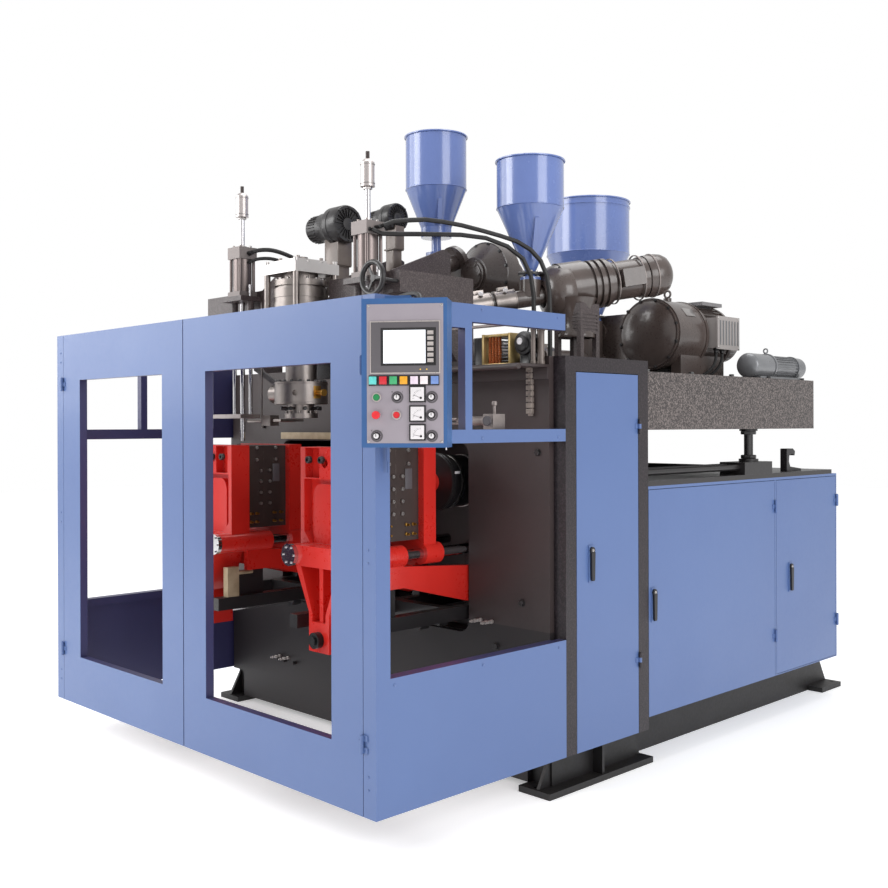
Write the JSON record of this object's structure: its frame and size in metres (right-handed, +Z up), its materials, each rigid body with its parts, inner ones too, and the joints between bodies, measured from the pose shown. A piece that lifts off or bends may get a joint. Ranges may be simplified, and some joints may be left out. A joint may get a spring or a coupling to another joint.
{
  "type": "blow moulding machine",
  "caption": "Double-station extrusion blow moulding machine with guard doors, clamp stations, die head, hoppers, control box and rear cabinet",
  "frame": {"origin": "centre of the bounding box at the floor", "axes": "+X to the right seen from the front doors, +Y from the front doors to the rear, +Z up"},
  "size_m": [2.8882, 3.952, 3.168],
  "materials": {
    "blue_paint": "satin blue enamel",
    "box_blue": "satin deeper blue enamel",
    "hopper_blue": "glossy blue enamel",
    "hammertone": "dark hammertone enamel",
    "black_paint": "black satin enamel",
    "red_paint": "red gloss enamel",
    "bright_steel": "ground steel",
    "chrome_rod": "hard chrome",
    "motor_grey": "grey machine enamel",
    "mould_black": "blackened steel",
    "hose_rubber": "matt black rubber",
    "panel_grey": "fine grey anodised plate",
    "button_green": "green",
    "button_red": "red",
    "knob_plastic": "black and white",
    "handle_black": "black"
  },
  "bodies": {
    "machine": {"base_frame": "black_paint", "front_bulkhead": "black_paint", "frame_columns": "hammertone", "rear_cabinet": "blue_paint", "extruder_deck": "hammertone", "side_guard_right": "blue_paint", "side_guard_left": "blue_paint", "deck_lifts": "black_paint", "blow_beam": "hammertone", "shuttle_rails": "black_paint", "pneumatics": "bright_steel", "hoses": "hose_rubber", "control_box": "box_blue", "control_panel": "panel_grey", "panel_instruments": "panel_grey", "blow_cylinders": "bright_steel", "die_head": "bright_steel", "head_yoke": "hammertone", "main_hopper": "hopper_blue", "satellite_hoppers": "hopper_blue", "extruder_barrels": "hammertone", "heater_bands": "bright_steel", "main_gearbox": "hammertone", "satellite_gearmotors": "hammertone", "main_motor": "black_paint", "extruder_supports": "hammertone", "barrel_blowers": "black_paint", "pump_motor": "motor_grey"},
    "door_left": {"front_door_left": "blue_paint"},
    "door_right": {"front_door_right": "blue_paint"},
    "door_column": {"column_door": "blue_paint"},
    "door_rear_main": {"rear_door_main": "blue_paint"},
    "door_rear_small": {"rear_door_small": "blue_paint"},
    "handle_column": {"handle_column": "handle_black"},
    "handle_rear_main": {"handle_rear_main": "handle_black"},
    "handle_rear_small": {"handle_rear_small": "handle_black"},
    "button_green": {"green_button": "button_green"},
    "button_red": {"red_button": "button_red"},
    "button_stop": {"emergency_stop": "button_red"},
    "knob_1": {"selector_knob_1": "knob_plastic"},
    "knob_2": {"selector_knob_2": "knob_plastic"},
    "knob_3": {"selector_knob_3": "knob_plastic"},
    "knob_4": {"selector_knob_4": "knob_plastic"},
    "knob_5": {"selector_knob_5": "knob_plastic"},
    "station_left": {"carriage_left": "black_paint"},
    "station_right": {"carriage_right": "black_paint"},
    "clamp_front_left": {"front_platen_left": "red_paint", "tie_rods_left": "chrome_rod", "mould_front_left": "mould_black"},
    "clamp_front_right": {"front_platen_right": "red_paint", "tie_rods_right": "chrome_rod", "mould_front_right": "mould_black"},
    "clamp_rear_left": {"rear_platen_left": "red_paint", "mould_rear_left": "mould_black"},
    "clamp_rear_right": {"rear_platen_right": "red_paint", "mould_rear_right": "mould_black"},
    "blow_left": {"blow_pin_left": "chrome_rod"},
    "blow_right": {"blow_pin_right": "chrome_rod"},
    "knife": {"parison_knife": "bright_steel"},
    "wheel": {"handwheel": "black_paint"}
  },
  "joints": [
    {"name": "front_door_left_hinge", "type": "hinge", "parent": "machine", "child": "door_left", "pos_m": [-1.37411, -1.847, 1.1], "axis": [0, 0, -1], "range_deg": [0, 100]},
    {"name": "front_door_right_hinge", "type": "hinge", "parent": "machine", "child": "door_right", "pos_m": [1.04989, -1.847, 1.1], "axis": [0, 0, 1], "range_deg": [0, 90]},
    {"name": "column_door_hinge", "type": "hinge", "parent": "machine", "child": "door_column", "pos_m": [1.12789, -0.229, 1], "axis": [0, 0, 1], "range_deg": [0, 90]},
    {"name": "rear_door_main_hinge", "type": "hinge", "parent": "machine", "child": "door_rear_main", "pos_m": [1.12789, 1.034, 0.76], "axis": [0, 0, 1], "range_deg": [0, 90]},
    {"name": "rear_door_small_hinge", "type": "hinge", "parent": "machine", "child": "door_rear_small", "pos_m": [1.12789, 1.754, 0.76], "axis": [0, 0, 1], "range_deg": [0, 100]},
    {"name": "handle_column_turn", "type": "hinge", "parent": "door_column", "child": "handle_column", "pos_m": [1.12989, -0.589, 1.048], "axis": [1, 0, 0], "range_deg": [0, 90]},
    {"name": "handle_rear_main_turn", "type": "hinge", "parent": "door_rear_main", "child": "handle_rear_main", "pos_m": [1.12989, -0.115, 0.812], "axis": [1, 0, 0], "range_deg": [0, 90]},
    {"name": "handle_rear_small_turn", "type": "hinge", "parent": "door_rear_small", "child": "handle_rear_small", "pos_m": [1.12989, 1.201, 0.812], "axis": [1, 0, 0], "range_deg": [0, 90]},
    {"name": "green_button_press", "type": "slide", "parent": "machine", "child": "button_green", "axis": [-0.6088, 0.7934, 0], "range_m": [0, 0.004], "stiffness_N_per_m": 600},
    {"name": "red_button_press", "type": "slide", "parent": "machine", "child": "button_red", "axis": [-0.6088, 0.7934, 0], "range_m": [0, 0.004], "stiffness_N_per_m": 600},
    {"name": "emergency_stop_press", "type": "slide", "parent": "machine", "child": "button_stop", "axis": [-0.6088, 0.7934, 0], "range_m": [0, 0.004]},
    {"name": "knob_1_turn", "type": "hinge", "parent": "machine", "child": "knob_1", "pos_m": [1.31294, -1.90723, 1.697], "axis": [0.6088, -0.7934, 0], "range_deg": [-45, 45]},
    {"name": "knob_2_turn", "type": "hinge", "parent": "machine", "child": "knob_2", "pos_m": [1.40815, -1.83418, 1.697], "axis": [0.6088, -0.7934, 0], "range_deg": [-150, 150]},
    {"name": "knob_3_turn", "type": "hinge", "parent": "machine", "child": "knob_3", "pos_m": [1.40815, -1.83418, 1.636], "axis": [0.6088, -0.7934, 0], "range_deg": [-150, 150]},
    {"name": "knob_4_turn", "type": "hinge", "parent": "machine", "child": "knob_4", "pos_m": [1.25582, -1.95106, 1.564], "axis": [0.6088, -0.7934, 0], "range_deg": [-45, 45]},
    {"name": "knob_5_turn", "type": "hinge", "parent": "machine", "child": "knob_5", "pos_m": [1.40815, -1.83418, 1.564], "axis": [0.6088, -0.7934, 0], "range_deg": [-150, 150]},
    {"name": "station_left_shuttle", "type": "slide", "parent": "machine", "child": "station_left", "axis": [1, 0, 0], "range_m": [0, 0.5]},
    {"name": "station_right_shuttle", "type": "slide", "parent": "machine", "child": "station_right", "axis": [1, 0, 0], "range_m": [-0.5, 0]},
    {"name": "clamp_front_left_slide", "type": "slide", "parent": "station_left", "child": "clamp_front_left", "axis": [0, -1, 0], "range_m": [0, 0.15]},
    {"name": "clamp_rear_left_slide", "type": "slide", "parent": "station_left", "child": "clamp_rear_left", "axis": [0, 1, 0], "range_m": [0, 0.15]},
    {"name": "blow_left_stroke", "type": "slide", "parent": "machine", "child": "blow_left", "axis": [0, 0, 1], "range_m": [-0.12, 0]},
    {"name": "clamp_front_right_slide", "type": "slide", "parent": "station_right", "child": "clamp_front_right", "axis": [0, -1, 0], "range_m": [0, 0.15]},
    {"name": "clamp_rear_right_slide", "type": "slide", "parent": "station_right", "child": "clamp_rear_right", "axis": [0, 1, 0], "range_m": [0, 0.15]},
    {"name": "blow_right_stroke", "type": "slide", "parent": "machine", "child": "blow_right", "axis": [0, 0, 1], "range_m": [-0.12, 0]},
    {"name": "knife_stroke", "type": "slide", "parent": "machine", "child": "knife", "axis": [1, 0, 0], "range_m": [0, 0.15]},
    {"name": "handwheel_turn", "type": "hinge", "parent": "machine", "child": "wheel", "pos_m": [0.47389, -1.294, 2.246], "axis": [0, 1, 0], "continuous": true}
  ],
  "couplings": [
    {"joint": "clamp_rear_left_slide", "follows": "clamp_front_left_slide", "ratio": 1},
    {"joint": "clamp_rear_right_slide", "follows": "clamp_front_right_slide", "ratio": 1}
  ]
}
